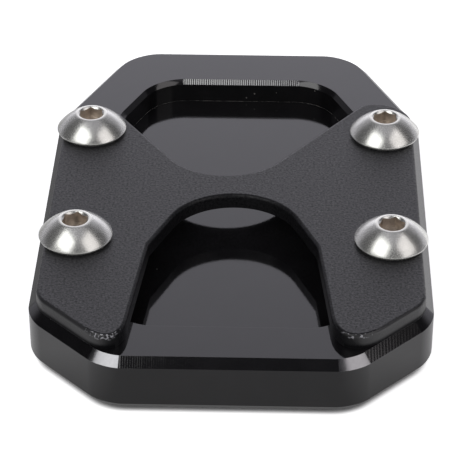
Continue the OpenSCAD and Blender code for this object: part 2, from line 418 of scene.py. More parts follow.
# %% [markdown]
# The arch has a round top, two slanted flanks, two shoulders and two legs that spread a
# little. A block is sliced along the flanks and the legs, and a rod cuts the round top. Where
# a flank touches the rod is worked out from its slant, so that they meet as tangents. The rod
# has 144 sides, because its inner edge is seen closely.

# %% Cut the front arch
arch_tangent = arch_centre + arch_radius * Vector((sin(arch_flank), cos(arch_flank)))
shoulder = Vector((arch_tangent.x + (arch_tangent.y - shoulder_y) / tan(arch_flank), shoulder_y))
arch = add_block("arch_cutter", (-far, -far, cutter_low_z), (far, arch_tangent.y, cutter_high_z))
for hand in (-1, 1):
    slice_away(arch, (hand * arch_tangent.x, arch_tangent.y, 0),
               (hand * sin(arch_flank), cos(arch_flank), 0))
    slice_away(arch, (hand * shoulder.x, shoulder.y, 0),
               (hand * cos(leg_spread), sin(leg_spread), 0))
cut_with(plate, arch)
cut_with(plate, add_rod("arch_top_cutter", arch_centre, arch_radius,
                        cutter_low_z, cutter_high_z, arc_sides))
print("with the arch:", len(plate.data.polygons), "faces")

# %% [markdown]
# The notch is cut in the same way, but it isn't on the middle line and its flanks lean
# differently. So each flank has its own angle and its own point on the rod. The block ends at
# the line between these two points, and the rod cuts the round bottom below it.

# %% Cut the rear notch
left_tangent = notch_centre + notch_radius * Vector((-sin(notch_left), -cos(notch_left)))
right_tangent = notch_centre + notch_radius * Vector((sin(notch_right), -cos(notch_right)))
chord = right_tangent - left_tangent
notch = add_block("notch_cutter", (-far, -far, cutter_low_z), (far, far, cutter_high_z))
slice_away(notch, (*left_tangent, 0), (chord.y, -chord.x, 0))
slice_away(notch, (*left_tangent, 0), (-sin(notch_left), -cos(notch_left), 0))
slice_away(notch, (*right_tangent, 0), (sin(notch_right), -cos(notch_right), 0))
cut_with(plate, notch)
cut_with(plate, add_rod("notch_bottom_cutter", notch_centre, notch_radius,
                        cutter_low_z, cutter_high_z, arc_sides))
print("with the notch:", len(plate.data.polygons), "faces")

# %% [markdown]
# No corner of the sheet is left sharp, and each has a radius of its own. The list gives where
# each corner is and how round it is, and the upright edge nearest to that place is bevelled.
# A whole list is easier to compare with the photograph than eight separate steps.

# %% Round the corners of the clamp plate
def nearest_upright(piece, x, y):
    """The upright edge nearest to a place, given in mm."""
    return min(upright_edges(piece), key=lambda place: (place - Vector((x * MM, y * MM))).length)


corner_radii = [  # the place of each corner and its radius, in mm
    ((-13.1, -38.8), 3.0), ((13.1, -38.8), 3.8), ((-24.1, -27.7), 4.0), ((24.1, -27.7), 4.0),
    ((24.1, 20.1), 5.0), ((17.6, 20.1), 2.6), ((-17.1, 17.1), 2.6), ((-24.1, 17.1), 2.6),
]
for (x, y), radius in corner_radii:
    round_upright(plate, nearest_upright(plate, x, y), radius * MM, outline_steps)
print("rounded corners:", len(corner_radii))

# %% [markdown]
# Powder coat draws back from a sharp edge as it melts, and leaves it soft. So the upper edge
# is bevelled in four steps, wide enough to catch the light. That comes before the holes are
# bored, because the screw heads cover their edges.

# %% Soften the upper edge and bore the holes
coat_rounding = 0.45 * MM
hole_radius = 2.75 * MM
bevel_level(plate, plate_high.z, coat_rounding, 4)
for place in screw_places.values():
    cut_with(plate, add_rod("hole_cutter", place, hole_radius,
                            cutter_low_z, cutter_high_z, bore_sides))
break_edges(plate, 0.15 * MM)
print("finished clamp plate:", len(plate.data.polygons), "faces")

# %% [markdown]
# ## Button-head screws
# A button head is a low dome on a thin land, with a flat crown and a hexagon socket. Its
# profile could be spun round with the Screw modifier. Here the body is pulled up ring by
# ring with Extrude and Resize, as one makes a vase by hand, because every ring is then a
# radius and a height that can be read off the real screw. One screw is modelled at the
# origin, and four copies of it are placed.

# %% Sizes of a screw
head_radius = 4.75 * MM
head_height = 2.75 * MM
head_land = 0.5 * MM
crown_radius = 2.25 * MM
crown_drop = 0.09 * MM
socket_width = 3 * MM
socket_depth = 1.6 * MM
mouth_radius = 1.77 * MM
shank_radius = 2.5 * MM
root_radius = 2.08 * MM
screw_length = 8 * MM
thread_pitch = 0.8 * MM
print("head:", in_mm((2 * head_radius, head_height)), "mm")

# %% [markdown]
# The dome is an arc from the rim of the head to the edge of the crown. Its bulge, how far the
# arc stands off the straight line between them, is easy to measure in the photograph. The
# radius and the centre follow from it.

# %% The arc of the dome
dome_bulge = 0.17 * MM
dome_steps = 14
rim = Vector((head_radius, head_land))
crown = Vector((crown_radius, head_height - crown_drop))
half_chord = (rim - crown).length / 2
dome_radius = (half_chord ** 2 + dome_bulge ** 2) / (2 * dome_bulge)
across = Vector((rim.y - crown.y, crown.x - rim.x)).normalized()
dome_centre = (rim + crown) / 2 + across * (dome_radius - dome_bulge)


def dome_ring(share):
    """Radius and height of the dome at a share of its arc, from rim to crown."""
    on_chord = rim.lerp(crown, share) - dome_centre
    return tuple(dome_centre + on_chord.normalized() * dome_radius)


print("dome radius:", round(dome_radius / MM, 2), "mm")

# %% [markdown]
# Now the whole profile can be listed from the tip of the shank to the crown, as a radius and a
# height for each ring. Rings that lie close together make a crisp edge, and the fourteen of
# the dome make it look smooth.

# %% The rings of the body, each a radius and a height
end_bevel = 0.5 * MM
rings = [
    # The bevelled end, the root of the thread, and the plain neck under the head
    (root_radius - end_bevel, -screw_length), (root_radius, -screw_length + end_bevel),
    (root_radius, -0.4 * MM), (shank_radius, -0.2 * MM), (shank_radius, 0),
    # The head draws in towards its seat, which leaves a dark line between it and the plate
    (head_radius - 0.3 * MM, 0), (head_radius - 0.1 * MM, 0.25 * MM),
    (head_radius, 0.44 * MM), (head_radius, head_land),
]
rings += [dome_ring(step / dome_steps) for step in range(1, dome_steps + 1)]
rings += [  # the soft edge of the crown
    (crown_radius - 0.1 * MM, head_height - 0.035 * MM),
    (crown_radius - 0.22 * MM, head_height - 0.005 * MM),
    (crown_radius - 0.3 * MM, head_height),
]
print("rings:", len(rings))


# %% Pull the body up from ring to ring
def pull_ring(radius, z, was_radius, was_z):
    """Extrudes the selected ring upwards and resizes it."""
    bpy.ops.mesh.extrude_edges_move(TRANSFORM_OT_translate={"value": (0, 0, z - was_z)})
    share = radius / was_radius
    bpy.ops.transform.resize(value=(share, share, 1), center_override=(0, 0, z))


head_sides = 96
bpy.ops.object.select_all(action="DESELECT")
bpy.ops.mesh.primitive_circle_add(vertices=head_sides, radius=rings[0][0], fill_type="NGON",
                                  location=(0, 0, rings[0][1]))
screw = bpy.context.object
settle(screw)
bpy.ops.object.mode_set(mode="EDIT")
bpy.ops.mesh.select_mode(type="EDGE")
bpy.ops.mesh.select_all(action="SELECT")
for (was_radius, was_z), (radius, z) in zip(rings, rings[1:]):
    pull_ring(radius, z, was_radius, was_z)
bpy.ops.mesh.edge_face_add()
bpy.ops.mesh.select_all(action="SELECT")
bpy.ops.mesh.normals_make_consistent(inside=False)
bpy.ops.object.mode_set(mode="OBJECT")
print("screw body:", len(screw.data.polygons), "faces")

# %% [markdown]
# The socket is pressed in as a hexagon, and a cone opens its mouth. Two Booleans do the
# same: a rod with six sides, and a cone whose upper end stands clear of the crown.

# %% Sink the hexagon socket
cone_radius = 1.35 * MM
cone_past = 0.5 * MM
hexagon = add_rod("hexagon_cutter", (0, 0), socket_width / 2 / cos(pi / 6),
                  head_height - socket_depth, head_height + past, 6, turn=radians(30))
cut_with(screw, hexagon)
cone = add_rod("countersink_cutter", (0, 0), cone_radius,
               head_height - (mouth_radius - cone_radius), head_height + cone_past,
               head_sides, top_radius=mouth_radius + cone_past)
cut_with(screw, cone)
break_edges(screw, 0.05 * MM, angle=28)
print("with the socket:", len(screw.data.polygons), "faces")

# %% [markdown]
# The thread is out of sight once the screw is in, but it shows when the part is taken apart.
# A Screw modifier winds a small triangle up round the root, which is how a lathe cuts it
# turned inside out. The open ends are filled, so that the coil is a closed solid.

# %% Wind the thread
ridge_radius = 0.27 * MM
ridge_place = (root_radius + 0.13 * MM, 0, -screw_length + 0.7 * MM)
bpy.ops.object.select_all(action="DESELECT")
bpy.ops.mesh.primitive_circle_add(vertices=3, radius=ridge_radius, fill_type="NOTHING",
                                  location=ridge_place, rotation=(pi / 2, 0, 0))
thread = bpy.context.object
settle(thread)
bpy.ops.object.mode_set(mode="EDIT")
bpy.ops.mesh.select_all(action="SELECT")
bpy.ops.transform.rotate(value=pi / 2, orient_axis="Y", center_override=ridge_place)
bpy.ops.object.mode_set(mode="OBJECT")
wind = thread.modifiers.new("wind", "SCREW")
wind.screw_offset = thread_pitch
wind.iterations = 8
wind.steps = 40
wind.render_steps = 40
wind.use_merge_vertices = False
bpy.ops.object.modifier_apply(modifier=wind.name)
print("coil:", len(thread.data.polygons), "faces")

# %% Close the ends of the thread
bpy.ops.object.mode_set(mode="EDIT")
bpy.ops.mesh.select_all(action="SELECT")
bpy.ops.mesh.remove_doubles(threshold=0.0005 * MM)
bpy.ops.mesh.select_all(action="SELECT")
bpy.ops.mesh.fill_holes(sides=3)
bpy.ops.mesh.select_all(action="SELECT")
bpy.ops.mesh.normals_make_consistent(inside=False)
bpy.ops.object.mode_set(mode="OBJECT")
print("thread:", in_mm(thread.dimensions), "mm")

# %% [markdown]
# ## Finishes
# A finish could be painted on an unwrapped image. Here every finish is a small node tree on
# Object coordinates instead, so nothing has to be unwrapped, and the grain keeps its real size
# in millimetres on every piece. A number that is the same all over a surface is set on the
# shader's own socket. Only what varies over the surface comes through a node.

# %% Helpers that make and join nodes
def new_finish(name, **sockets):
    """A material with one Principled shader, and the values that hold all over."""
    finish = bpy.data.materials.new(name)
    finish.use_nodes = True
    shader = finish.node_tree.nodes["Principled BSDF"]
    for socket, value in sockets.items():
        shader.inputs[socket.replace("_", " ")].default_value = value
    return finish, shader


def add_node(owner, kind, **settings):
    """A node in a material or world; a setting that names an input socket sets that socket."""
    node = owner.node_tree.nodes.new(kind)
    for key, value in settings.items():
        socket = key.replace("_", " ")
        if socket in node.inputs:
            node.inputs[socket].default_value = value
        else:
            setattr(node, key, value)
    return node


def join(output, target):
    """Draws the link from an output socket to an input socket of the same tree."""
    output.id_data.links.new(output, target)


def reckon(owner, operation, *values, kind="ShaderNodeMath", result=0):
    """A Math node on some values, each an output of another node or a plain number."""
    node = add_node(owner, kind, operation=operation)
    for socket, value in zip(node.inputs, values):
        if isinstance(value, bpy.types.NodeSocket):
            join(value, socket)
        else:
            socket.default_value = value
    return node.outputs[result]


def tell(*finishes):
    """Prints the size of each finish's node tree."""
    for finish in finishes:
        print(finish.name + ":", len(finish.node_tree.nodes), "nodes")


print("materials so far:", len(bpy.data.materials))

# %% [markdown]
# Pores, pebbles and clouds all come from Noise. It is read at a place on the piece, and gives
# a value that is mostly between 0.3 and 0.7. Map Range then turns that into the range a
# socket needs, such as a roughness from 0.14 to 0.19.

# %% Helpers for coordinates, noise and ranges
def mapped(finish, scale=(1, 1, 1), turn=0.0):
    """Object coordinates in metres, turned and stretched by a Mapping node."""
    place = add_node(finish, "ShaderNodeTexCoord")
    mapping = add_node(finish, "ShaderNodeMapping", Scale=scale, Rotation=(0, 0, turn))
    join(place.outputs["Object"], mapping.inputs["Vector"])
    return mapping.outputs["Vector"]


def components(owner, vector):
    """The X, Y and Z of a vector, as outputs."""
    node = add_node(owner, "ShaderNodeSeparateXYZ")
    join(vector, node.inputs["Vector"])
    return node.outputs


def grain(finish, vector, scale, detail=3.0, roughness=0.55):
    """Noise on a coordinate, scale in features per millimetre."""
    noise = add_node(finish, "ShaderNodeTexNoise", Scale=scale / MM, Detail=detail,
                     Roughness=roughness)
    join(vector, noise.inputs["Vector"])
    return noise.outputs["Fac"]


def spread(finish, value, low, high, from_low=0.3, from_high=0.7):
    """Maps a value from one range to another, and holds it at the ends."""
    ramp = add_node(finish, "ShaderNodeMapRange", From_Min=from_low, From_Max=from_high,
                    To_Min=low, To_Max=high)
    join(value, ramp.inputs["Value"])
    return ramp.outputs["Result"]


print("one feature per mm is a noise scale of", round(1 / MM))

# %% [markdown]
# A Color Ramp turns a value into a colour, between two tones or through many. A Bump node
# tilts the surface by the slope of a value, for relief too fine to model. Its distance is the
# real height of that relief, about a thousandth of a millimetre on an anodised skin.

# %% Helpers for colour and relief
def colour_ramp(owner, value, stops):
    """Colours by a value, through stops of a position and a colour."""
    ramp = add_node(owner, "ShaderNodeValToRGB")
    points = ramp.color_ramp.elements
    while len(points) < len(stops):
        points.new(0.5)
    for point, (position, colour) in zip(points, stops):
        point.position = position
        point.color = (*colour, 1)
    join(value, ramp.inputs["Fac"])
    return ramp.outputs["Color"]


def tint(finish, value, dark, light, low=0.3, high=0.7):
    """Colours between two tones by a value."""
    return colour_ramp(finish, value, [(low, dark), (high, light)])


def bump(finish, shader, height, distance, strength=1.0, under=None):
    """Tilts the surface by a height, distance in millimetres, over the relief under it."""
    node = add_node(finish, "ShaderNodeBump", Strength=strength, Distance=distance * MM)
    join(height, node.inputs["Height"])
    if under is not None:
        join(under, node.inputs["Normal"])
    join(node.outputs["Normal"], shader.inputs["Normal"])
    return node.outputs["Normal"]


print("made the helpers for colour and relief")

# %% [markdown]
# ### Black anodised aluminium
# Anodising grows a thin clear oxide that is dyed black, and the milled metal under it stays
# smooth. So it is a dark, glossy dielectric and not a metal in Blender's terms: what one sees
# of it is what it mirrors. A few specks of dust lie on it. Voronoi cells make them, because
# each cell has a middle for one speck and a colour of its own, which picks the few cells that
# get one.

# %% The dust on a surface
def dust(finish, vector, share):
    """White in the middles of some Voronoi cells of 2 mm, a share of them all."""
    speck_size = 0.035
    cells = add_node(finish, "ShaderNodeTexVoronoi", Scale=0.5 / MM)
    join(vector, cells.inputs["Vector"])
    speck = spread(finish, cells.outputs["Distance"], 1.0, 0.0, speck_size, speck_size * 1.8)
    pick = add_node(finish, "ShaderNodeSeparateColor")
    join(cells.outputs["Color"], pick.inputs["Color"])
    chosen = reckon(finish, "LESS_THAN", pick.outputs[0], share)
    return reckon(finish, "MULTIPLY", speck, chosen)


print("made the helper for dust")

# %% [markdown]
# Where the chamfer mill chattered, it left fine ticks across the bevel. They would be hundreds
# of grooves to model, and hardly deeper than a scratch. So a Wave texture tilts the surface
# instead, and a range of X lets the ticks fade out where the mill ran smoothly.

# %% The ticks of the mill
def mill_ticks(finish, vector, spacing, turn, span):
    """The height of ticks a spacing in mm apart, which fade in or out over a span of X."""
    waves = add_node(finish, "ShaderNodeTexWave", Scale=pi / 10 / (spacing * MM),
                     Distortion=2.5, Detail=2, Detail_Scale=0.6)
    join(mapped(finish, (1, 0.05, 0.05), turn), waves.inputs["Vector"])
    fade = spread(finish, components(finish, vector)["X"], *span)
    return reckon(finish, "MULTIPLY", waves.outputs["Fac"], fade)


print("ticks 0.3 mm apart need a wave scale of", round(pi / 10 / (0.3 * MM)))

# %% [markdown]
# All anodised faces share one recipe: a cloud of noise varies the dye, fine noise gives the
# pores, and dust and ticks are laid over them. Only how rough, how mirror-like and how dusty
# a face is differs, since each mill leaves its own skin. A single material for the whole
# plate would lose that.

# %% The dyed oxide
dust_colour = (0.30, 0.29, 0.27, 1)


def black_anodised(name, rough, ior=1.72, dusty=0.06, ticks=None, tick_turn=0.0,
                   tick_height=0.0, tick_span=()):
    """Dyed oxide over milled aluminium: black and glossy, with ticks where a spacing is given."""
    finish, shader = new_finish(name, IOR=ior)
    vector = mapped(finish)
    cloud = grain(finish, vector, 0.35, 4)
    dye = tint(finish, cloud, (0.006, 0.0058, 0.0065), (0.0095, 0.0092, 0.0102))
    dusted = add_node(finish, "ShaderNodeMix", data_type="RGBA")
    factor, dark, light = (dusted.inputs[i] for i in (0, 6, 7))  # 6 and 7 are its colours
    join(dust(finish, vector, dusty), factor)
    join(dye, dark)
    light.default_value = dust_colour
    join(dusted.outputs[2], shader.inputs["Base Color"])
    pores = grain(finish, vector, 5.0, 2)
    join(spread(finish, pores, rough * 0.85, rough * 1.2), shader.inputs["Roughness"])
    relief = bump(finish, shader, pores, 0.0012)
    if ticks:
        marks = mill_ticks(finish, vector, ticks, tick_turn, tick_span)
        bump(finish, shader, marks, tick_height, under=relief)
    return finish


anodised_face = black_anodised("anodised_face", 0.07)
anodised_wall = black_anodised("anodised_wall", 0.10)
pocket_wall = black_anodised("anodised_pocket_wall", 0.16, ior=1.45, dusty=0.6)
anodised_bevel = black_anodised("anodised_bevel", 0.12)
anodised_edge = black_anodised("anodised_edge", 0.30, ior=2.2)
tell(anodised_face, anodised_wall, pocket_wall, anodised_bevel, anodised_edge)

# %% Anodised bevels with ticks: the front one, the right slanted one and the pocket's rear one
anodised_bevel_across = black_anodised(
    "anodised_bevel_across", 0.08, ior=1.6, ticks=0.29, tick_height=0.0042,
    tick_span=(1.0, 0.0, -3 * MM, 7 * MM))
anodised_bevel_slant = black_anodised(
    "anodised_bevel_slant", 0.12, ticks=0.28, tick_turn=radians(-45), tick_height=0.002,
    tick_span=(0.0, 1.0, 15 * MM, 17 * MM))
pocket_mouth = black_anodised(
    "anodised_pocket_mouth", 0.14, ior=2.7, ticks=0.31, tick_height=0.013,
    tick_span=(1.0, 0.35, -2 * MM, 9 * MM))
tell(anodised_bevel_across, anodised_bevel_slant, pocket_mouth)

# %% [markdown]
# At the two front corners the bevel turns, and its rounding shows a lamp as a white patch
# that is much brighter than a clear black surface can mirror. There the oxide is worn thin
# and the bare metal shines through, so these two corners get a grey metal of their own.

# %% The bright front corners
bright_corner, corner_shader = new_finish("anodised_corner", Metallic=1.0)
corner_grain = grain(bright_corner, mapped(bright_corner, (1, 1, 0.2)), 2.5, 3)
join(tint(bright_corner, corner_grain, (0.30, 0.30, 0.31), (0.34, 0.34, 0.35)),
     corner_shader.inputs["Base Color"])
join(spread(bright_corner, corner_grain, 0.17, 0.20), corner_shader.inputs["Roughness"])
tell(bright_corner)

# %% [markdown]
# Dust gathers where the wall of the pocket meets its floor, and shows as a thin pale line.
# Loose grains would be far too small to model, so the narrow rounding in that corner takes a
# rough finish whose noise runs from bare black to pale dust.

# %% The dusty corner of the pocket
dusty_corner, dusty_shader = new_finish("anodised_dusty_corner", IOR=1.5, Roughness=0.5)
settled = grain(dusty_corner, mapped(dusty_corner), 1.6, 4, 0.7)
join(tint(dusty_corner, settled, (0.03, 0.03, 0.03), (0.60, 0.58, 0.54), 0.42, 0.64),
     dusty_shader.inputs["Base Color"])
tell(dusty_corner)

# %% [markdown]
# ### Textured powder coat
# The clamp plate has a black powder coat with a fine pebbled skin. One noise drives all of
# it, so that a pebble is paler, shinier and higher at the same spot, and the valleys between
# are dull. Inside the arch the coat lies in shade, and a copy with far less sheen paints that
# shade.

# %% The coat
def textured_coat(name, sheen, rough, mottle=0.65):
    """Black powder coat with a fine pebbled grain, which varies how much each spot mirrors."""
    finish, shader = new_finish(name, IOR=1.6)
    pebbles = grain(finish, mapped(finish), 3.3, 3, 0.7)
    join(tint(finish, pebbles, (0.008, 0.008, 0.0088), (0.016, 0.016, 0.0176)),
         shader.inputs["Base Color"])
    join(spread(finish, pebbles, sheen * (1 - mottle), sheen * (1 + mottle)),
         shader.inputs["Specular IOR Level"])
    join(spread(finish, pebbles, rough * 1.15, rough * 0.9), shader.inputs["Roughness"])
    bump(finish, shader, pebbles, 0.045, 0.8)
    return finish, shader


coat, _ = textured_coat("textured_coat", 0.49, 0.41)
# a copy of the coat with far less sheen, as painted shade inside the arch
painted_shade_coat, _ = textured_coat("textured_coat_painted_shade", 0.16, 0.30)
tell(coat, painted_shade_coat)

# %% [markdown]
# Boots and the ground have rubbed the front edges of the legs smoother. Painted sheen makes
# them paler, most of all along the upper part of the edge, and fades to painted shade lower
# down and inwards. The coat is chipped at the tip of each leg, and the pale chips also paint
# the glints there. The chips are flecks of noise that fade out with the distance from the tip.
# Absolute X and Y let one place stand for both legs.

# %% The rubbed edge, its painted sheen and its chips
chip_place = (15.2 * MM, 36.6 * MM, plate_high.z)
chip_flatness = 4  # how many times flatter the chipped patch is than it is wide


def worn_lit_coat(name):
    """The same coat on an outer edge, rubbed smoother and paler by painted sheen, with pale chips
    that also paint glints at the tips of the legs.
    """
    finish, shader = textured_coat(name, 0.6, 0.34, mottle=0.15)
    vector = mapped(finish)
    place = components(finish, vector)
    # painted sheen: paler high on the edge and further out, fading to painted shade low down and
    # inwards
    upper = spread(finish, place["Z"], 0.05, 0.6,
                   plate_low.z + 0.3 * MM, plate_low.z + 0.7 * MM)
    outer = spread(finish, reckon(finish, "ABSOLUTE", place["X"]), 0.1, 1.0, 13 * MM, 16 * MM)
    join(reckon(finish, "MULTIPLY", upper, outer), shader.inputs["Specular IOR Level"])

    flatten = (1, 1, chip_flatness)
    either_leg = reckon(finish, "ABSOLUTE", vector, kind="ShaderNodeVectorMath")
    flat = reckon(finish, "MULTIPLY", either_leg, flatten, kind="ShaderNodeVectorMath")
    tip = [length * share for length, share in zip(chip_place, flatten)]
    away = reckon(finish, "DISTANCE", flat, tip, kind="ShaderNodeVectorMath", result="Value")
    near_tip = spread(finish, away, 1.0, 0.0, 1.5 * MM, 4.5 * MM)
    # the pale chips also paint the glints at the tips
    flecks = spread(finish, grain(finish, vector, 3.2, 2), 0.0, 1.0, 0.48, 0.62)
    chips = reckon(finish, "MULTIPLY", near_tip, flecks)
    join(tint(finish, chips, (0.008, 0.008, 0.009), (0.36, 0.36, 0.38)),
         shader.inputs["Base Color"])
    return finish


rubbed_lit_coat = worn_lit_coat("textured_coat_rubbed_painted_light")
tell(rubbed_lit_coat)

# %% [markdown]
# ### Stainless steel
# The heads are turned and then tumbled, which leaves a satin shine with no clear direction.
# The crown is a little brighter than the dome. The pressed socket is rough and brown, and its
# colour is darker, which paints the shade inside it. One recipe makes all three, with a cloud
# in the colour and a very fine noise in the roughness.

# %% The three steels
def stainless(name, dark, light, rough, metallic=1.0):
    """Turned and tumbled stainless steel with a satin sheen."""
    finish, shader = new_finish(name, Metallic=metallic)
    vector = mapped(finish)
    cloud = grain(finish, vector, 1.2, 4)
    join(tint(finish, cloud, dark, light), shader.inputs["Base Color"])
    fine = grain(finish, vector, 9.0, 3)
    join(spread(finish, fine, rough * 0.9, rough * 1.1), shader.inputs["Roughness"])
    bump(finish, shader, fine, 0.0005)
    return finish


crown_steel = stainless("crown_steel", (0.74, 0.74, 0.68), (0.82, 0.82, 0.76), 0.14)
steel = stainless("stainless_steel", (0.75, 0.75, 0.71), (0.83, 0.83, 0.79), 0.26, 0.86)
# the socket's darker colour paints the shade inside it
shaded_socket_steel = stainless("shaded_socket_steel", (0.46, 0.41, 0.36), (0.76, 0.69, 0.62), 0.42)
tell(crown_steel, steel, shaded_socket_steel)

# %% [markdown]
# ## Dress the base plate
# A material slot holds one finish. By hand one selects faces and presses Assign. In the
# script a rule looks at where a face is and which way it faces, and names its finish. The
# rounded edges come first, since their normals lie between those of their neighbours.

# %% A helper that dresses a piece by a rule
def dress(piece, finishes, rule):
    """Puts finishes in a piece's slots, lets a rule name one for each face and counts them."""
    piece.data.materials.clear()
    for finish in finishes:
        piece.data.materials.append(finish)
    counts = dict.fromkeys((finish.name for finish in finishes), 0)
    for face in piece.data.polygons:
        finish = rule(face.center / MM, face.normal)
        face.material_index = finishes.index(finish)
        counts[finish.name] += 1
    return counts


print("slots on the base plate so far:", len(base.material_slots))

# %% Dress the faces of the base plate
pocket_floor = (top_z - pocket_depth) / MM
pocket_side = pocket_side_x / MM + 0.2
pocket_front = pocket_front_y / MM - 0.2
pocket_rear = pocket_rear_y / MM + 0.4


def base_rule(centre, normal):
    """The finish of a face of the base plate, by its centre in mm and its normal."""
    # The tiny roundings: round the pocket's floor, and beside a bevel, whose own normal has
    # a Z of 0.71 above and -0.71 below
    if abs(centre.z - pocket_floor) < 0.15 and 0.06 < normal.z < 0.985:
        return dusty_corner
    if 0.74 < normal.z < 0.985 or -0.66 < normal.z < -0.06:
        return anodised_edge
    # Level and upright faces
    if abs(normal.z) > 0.9:
        return anodised_face
    if abs(normal.z) < 0.3:
        in_pocket = abs(centre.x) < pocket_side and pocket_front < centre.y < pocket_rear
        return pocket_wall if in_pocket else anodised_wall
    # Bevels: those that face the front, the front corners, the lower one, the right slanted one
    if normal.y < -0.65 and normal.z > 0 and abs(normal.x) < 0.05:
        return pocket_mouth if centre.y > 0 else anodised_bevel_across
    if centre.y < -30 and normal.z > 0.5 and normal.y < -0.505 and abs(centre.x) > 12:
        return bright_corner
    if normal.z < -0.66:
        return pocket_wall
    if normal.x > 0.4 and normal.z > 0 and abs(normal.x + normal.y) < 0.02:
        return anodised_bevel_slant
    return anodised_bevel


base_finishes = [anodised_face, anodised_wall, anodised_bevel, anodised_bevel_across,
                 anodised_bevel_slant, pocket_wall, anodised_edge, bright_corner,
                 pocket_mouth, dusty_corner]
print("faces per finish:", dress(base, base_finishes, base_rule))

# %% [markdown]
# ## Dress the clamp plate
# The front edges of the legs take the rubbed coat with its painted light, unless they look in
# towards the arch. The edge of the arch takes the coat with painted shade, and all the rest the
# plain one.

# %% Dress the faces of the clamp plate
def plate_rule(centre, normal):
    """The finish of a face of the clamp plate, by its centre in mm and its normal."""
    outward = normal.x if centre.x > 0 else -normal.x
    if centre.y < -26 and normal.y < -0.2:
        if 0.3 < normal.z < 0.96 and outward > -0.7:
            return rubbed_lit_coat
        if abs(normal.z) < 0.3:
            return rubbed_lit_coat if outward > -0.7 else painted_shade_coat
    if -0.3 < normal.z < 0.99 and abs(centre.x) < 18 and -37 < centre.y < 1:
        return painted_shade_coat
    return coat


print("faces per finish:", dress(plate, [coat, painted_shade_coat, rubbed_lit_coat], plate_rule))

# %% [markdown]
# ## Place the four screws
# Each copy gets its own mesh, is turned as its socket stands in the photograph and is joined
# with its thread into one piece. An assembler never lines the sockets up, so each has an
# angle of its own.

# %% Copy the screw to its four places
socket_turns = dict(zip(screws, (38, 30, 22, 12)))
seat_z = plate_high.z


def screw_rule(centre, normal):
    """The finish of a face of a screw that still stands at the origin."""
    if centre.xy.length < 1.75 and 0.5 < centre.z < 2.6:
        return shaded_socket_steel
    return crown_steel if normal.z > 0.97 and centre.z > 2.6 else steel


def place_screw(name):
    """Copies the screw and its thread to a screw's place, turned as its socket stands."""
    pieces = []
    for source in (screw, thread):
        copy = source.copy()
        copy.data = source.data.copy()
        bpy.context.scene.collection.objects.link(copy)
        pieces.append(copy)
    body, coil = pieces
    dress(body, [steel, shaded_socket_steel, crown_steel], screw_rule)
    dress(coil, [steel], lambda centre, normal: steel)
    bpy.ops.object.select_all(action="DESELECT")
    for copy in pieces:
        copy.select_set(True)
    bpy.context.view_layer.objects.active = body
    bpy.ops.object.join()
    body.name = name + "_body"
    body.rotation_euler.z = radians(socket_turns[name])
    body.location = screw_places[name] + Vector((0, 0, seat_z))
    settle(body)
    return body


screw_bodies = {name: place_screw(name) for name in screws}
bpy.data.objects.remove(screw)
bpy.data.objects.remove(thread)
print("screws placed:", sorted(screw_bodies))

# %% [markdown]
# ## Put the pieces on the frame
# Each new piece rides on the part's one body and stands for its CAD node, which is hidden.

# %% Ride and replace
def stand_for(piece, node):
    """Lets a piece ride on the body and stand for a CAD node, which is hidden."""
    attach(piece, "root")
    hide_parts(node)


stand_for(base, "base_plate")
stand_for(plate, "clamp_plate")
for name, body in screw_bodies.items():
    stand_for(body, name)

# %% [markdown]
# ## Camera
# The photograph was taken from the front, 34 degrees above, with a long lens. The camera's
# place and its three turns were found by fitting the part's corners to the photograph. A
# rotation matrix is built from them, since a tracked camera could not hold the small roll.

# %% Set up the camera
camera_place = (0.005566, -0.242578, 0.164346)
pitch = radians(33.99)
yaw = radians(-1.342)
roll = radians(0.126)
camera_data = bpy.data.cameras.new("camera")
camera_data.sensor_width = 36
camera_data.lens = 164.8
camera = bpy.data.objects.new("camera", camera_data)
bpy.context.scene.collection.objects.link(camera)
forward = Vector((sin(yaw) * cos(pitch), cos(yaw) * cos(pitch), -sin(pitch)))
level_right = Vector((cos(yaw), -sin(yaw), 0))
level_up = level_right.cross(forward)
right = cos(roll) * level_right + sin(roll) * level_up
up = -sin(roll) * level_right + cos(roll) * level_up
turned = Matrix((right, up, -forward)).transposed().to_4x4()
camera.matrix_world = Matrix.Translation(camera_place) @ turned
bpy.context.scene.camera = camera
print("camera turns:", [round(degrees(angle), 2) for angle in camera.rotation_euler])

# %% [markdown]
# ## The studio round the part
# Black and steel are seen by what they mirror, so the studio is built for the mirrors. In a
# real one, cards and cloths stand round the table. Here the world's colour follows the
# direction of a ray, which costs nothing to render. Four lights are summed: a backdrop
# behind, which turns the level faces grey and fades to both sides, a pale horizon all round,
# which the upright walls mirror, a faint ceiling, and a front light, which shows in views
# from behind. Camera rays see plain white instead.

# %% Where a ray is heading
world = bpy.data.worlds.new("studio")
bpy.context.scene.world = world
world.use_nodes = True
world.node_tree.nodes.clear()
direction = add_node(world, "ShaderNodeTexCoord")
heading = components(world, direction.outputs["Generated"])
sideways = reckon(world, "MULTIPLY_ADD", heading["X"], 0.5, 0.5)  # 0 at the left, 1 at the right
ahead = reckon(world, "MULTIPLY", heading["Y"], -1)
print("made the directions:", len(world.node_tree.nodes), "nodes")

# %% [markdown]
# Each light is a Background shader. One ramp gives its brightness by height or depth, and a
# second one may dim it to either side, as where a cloth hangs further away. The stops were
# set by comparing tones with the photograph, face by face.

# %% The four lights of the world
cool = (1, 0.985, 1.08)
plain = (1, 1, 1)


def levels(stops, tinge=plain):
    """Turns stops of position and brightness into stops of position and colour."""
    return [(position, tuple(level * share for share in tinge)) for position, level in stops]


def world_light(value, stops, tinge=cool, by=None, shares=()):
    """Light whose brightness follows a value, times a share that follows another one."""
    light = add_node(world, "ShaderNodeBackground")
    join(colour_ramp(world, value, levels(stops, tinge)), light.inputs["Color"])
    if shares:
        join(colour_ramp(world, by, levels(shares)), light.inputs["Strength"])
    return light.outputs["Background"]


